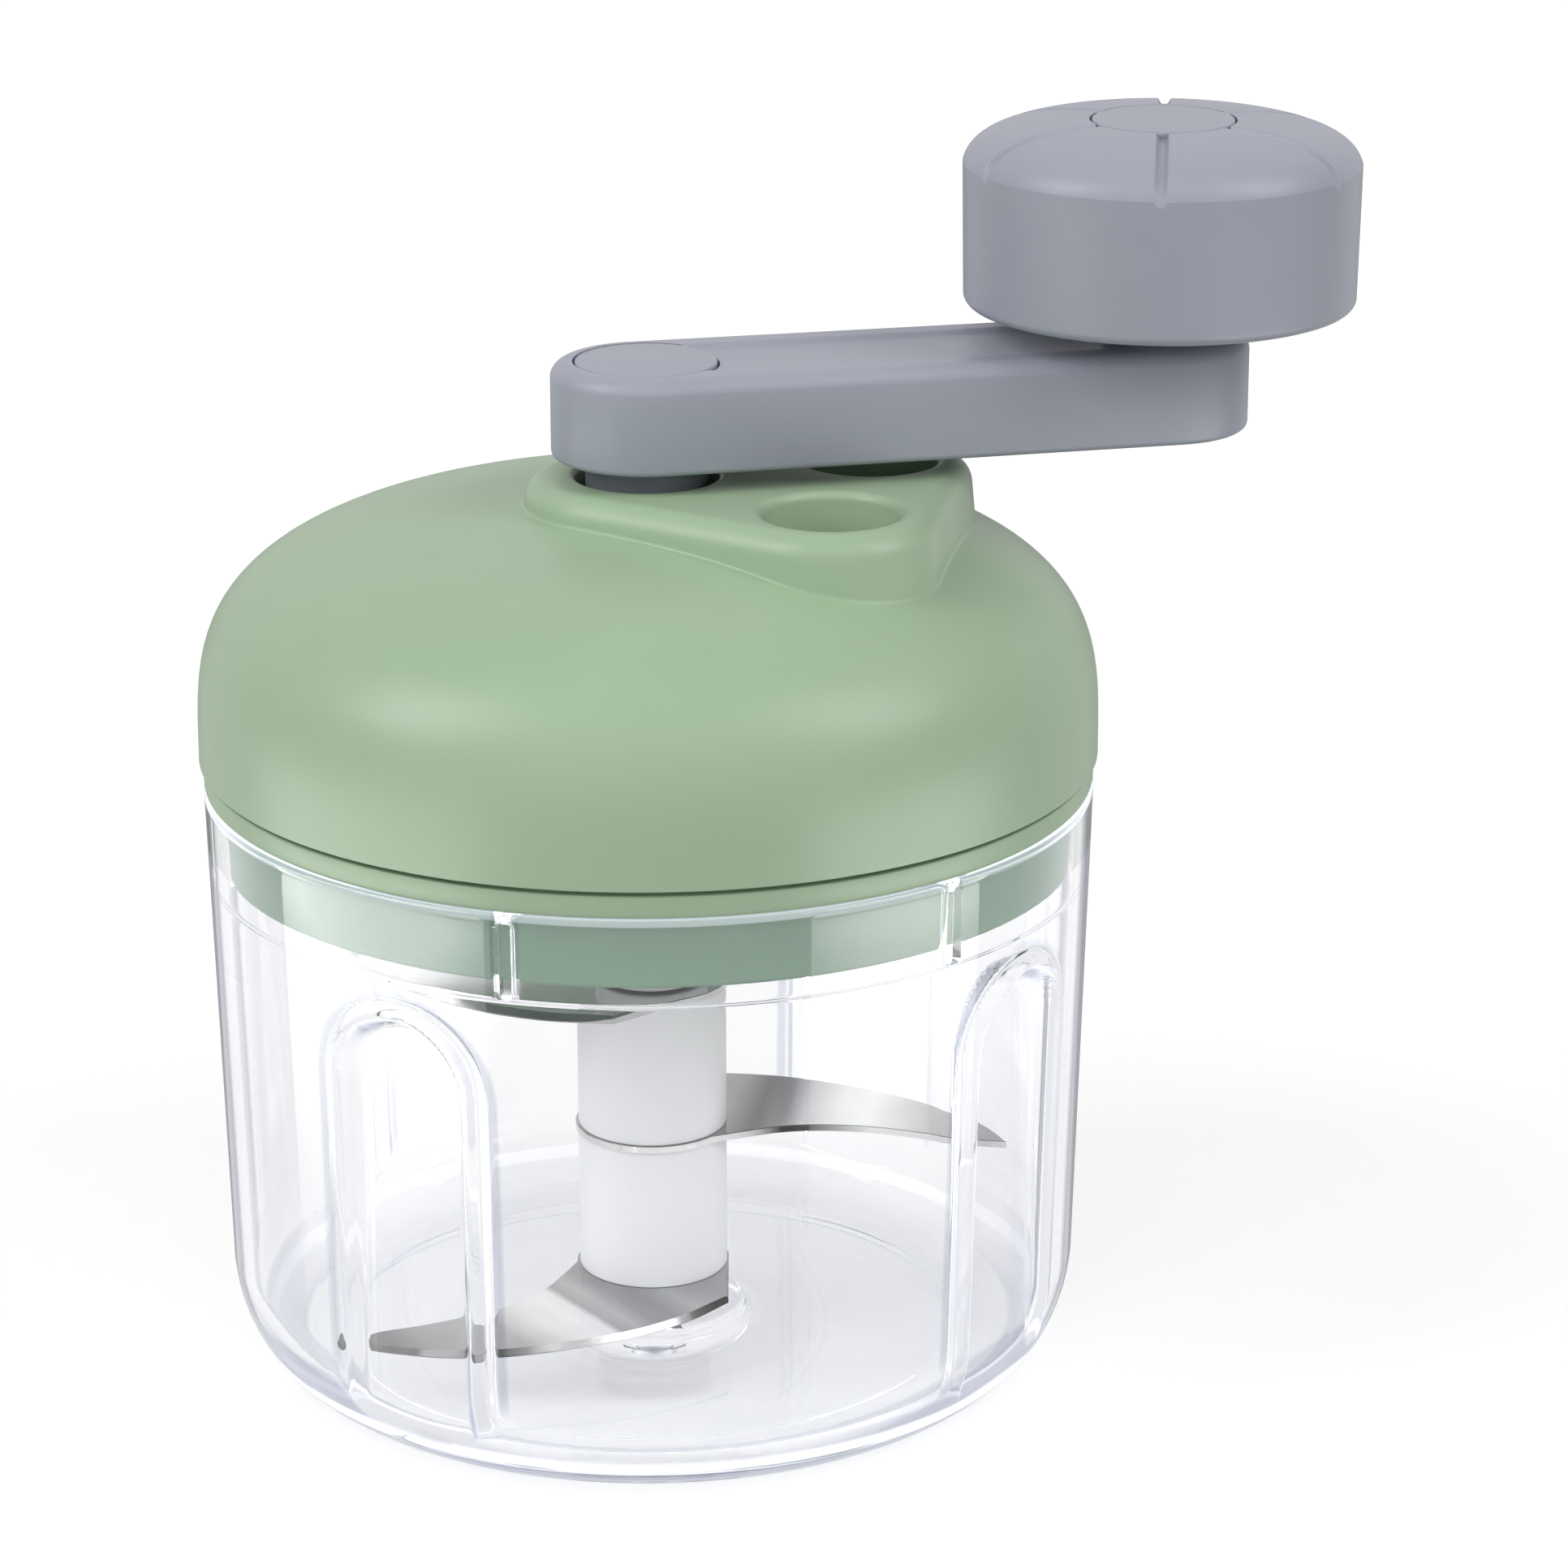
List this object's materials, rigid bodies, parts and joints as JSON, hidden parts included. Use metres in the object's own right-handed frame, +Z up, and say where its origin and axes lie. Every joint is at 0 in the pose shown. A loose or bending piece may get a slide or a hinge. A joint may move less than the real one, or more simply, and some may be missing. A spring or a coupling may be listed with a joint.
{
  "type": "hand cranked garlic chopper",
  "caption": "Hand cranked garlic chopper: clear round bowl, curved blades on an upright shaft, domed geared lid with filler holes, and a plug-in crank with a turning knob.",
  "frame": {"origin": "middle of the flat pad under the bowl, level with its foot ring, on the axis that bowl, blades, gears and crank share", "axes": "+Z up along that axis, front along -Y, crank arm towards +X and 13 degrees round to +Y"},
  "size_m": [0.1596, 0.124, 0.1732],
  "materials": {
    "clear": "clear, polished",
    "green": "satin sage green",
    "grey": "satin blue grey",
    "frosted": "translucent white",
    "steel": "polished",
    "nylon": "moulded, plain",
    "bronze": "plain"
  },
  "bodies": {
    "bowl": {"bowl": "clear", "pivot_pin": "steel"},
    "blade_set": {"shaft_core": "frosted", "foot_bush": "nylon", "blade_lower": "steel", "blade_middle": "steel", "blade_upper": "steel", "lower_sleeve": "frosted", "upper_sleeve": "frosted", "blade_cap": "frosted"},
    "lid": {"lid_base": "green", "lid_shell": "green", "ring_gear": "nylon", "gearbox_cover": "frosted", "gearbox_screw_1": "steel", "gearbox_screw_2": "steel", "gearbox_screw_3": "steel", "input_bush": "bronze", "output_bush": "bronze", "lid_screw_1": "steel", "lid_screw_2": "steel", "lid_screw_3": "steel"},
    "sun": {"sun_gear": "steel", "drive_cup": "frosted"},
    "drive": {"planet_carrier": "frosted", "planet_pin_1": "steel", "planet_pin_2": "steel", "planet_pin_3": "steel"},
    "planet_1": {"planet_gear_1": "nylon"},
    "planet_2": {"planet_gear_2": "nylon"},
    "planet_3": {"planet_gear_3": "nylon"},
    "crank": {"crank_arm": "grey", "arm_cover": "grey", "arm_screw_1": "steel", "arm_screw_2": "steel", "crank_spindle": "grey", "crank_screw": "steel", "hub_cap": "grey", "knob_axle": "steel", "knob_screw": "steel"},
    "knob": {"knob_shell": "grey", "knob_base": "grey", "knob_cap": "grey"}
  },
  "joints": [
    {"name": "blade_spin", "type": "hinge", "parent": "bowl", "child": "blade_set", "pos_m": [0, 0, 0.0108], "axis": [0, 0, 1], "continuous": true},
    {"name": "lid_lift", "type": "slide", "parent": "bowl", "child": "lid", "axis": [0, 0, 1], "range_m": [0, 0.06]},
    {"name": "crank_spin", "type": "hinge", "parent": "lid", "child": "drive", "pos_m": [0, 0, 0.0904], "axis": [0, 0, 1], "continuous": true},
    {"name": "sun_spin", "type": "hinge", "parent": "lid", "child": "sun", "pos_m": [0, 0, 0.08], "axis": [0, 0, 1], "continuous": true},
    {"name": "planet_spin_1", "type": "hinge", "parent": "drive", "child": "planet_1", "pos_m": [0, 0.0096, 0.0845], "axis": [0, 0, 1], "continuous": true},
    {"name": "planet_spin_2", "type": "hinge", "parent": "drive", "child": "planet_2", "pos_m": [-0.00831, -0.0048, 0.0845], "axis": [0, 0, 1], "continuous": true},
    {"name": "planet_spin_3", "type": "hinge", "parent": "drive", "child": "planet_3", "pos_m": [0.00831, -0.0048, 0.0845], "axis": [0, 0, 1], "continuous": true},
    {"name": "crank_pull", "type": "slide", "parent": "drive", "child": "crank", "axis": [0, 0, 1], "range_m": [0, 0.032]},
    {"name": "knob_spin", "type": "hinge", "parent": "crank", "child": "knob", "pos_m": [0.07035, 0.01624, 0.158], "axis": [0, 0, 1], "continuous": true}
  ],
  "couplings": [
    {"joint": "blade_spin", "follows": "crank_spin", "ratio": 4},
    {"joint": "sun_spin", "follows": "crank_spin", "ratio": 4},
    {"joint": "planet_spin_1", "follows": "crank_spin", "ratio": -3},
    {"joint": "planet_spin_2", "follows": "crank_spin", "ratio": -3},
    {"joint": "planet_spin_3", "follows": "crank_spin", "ratio": -3}
  ]
}
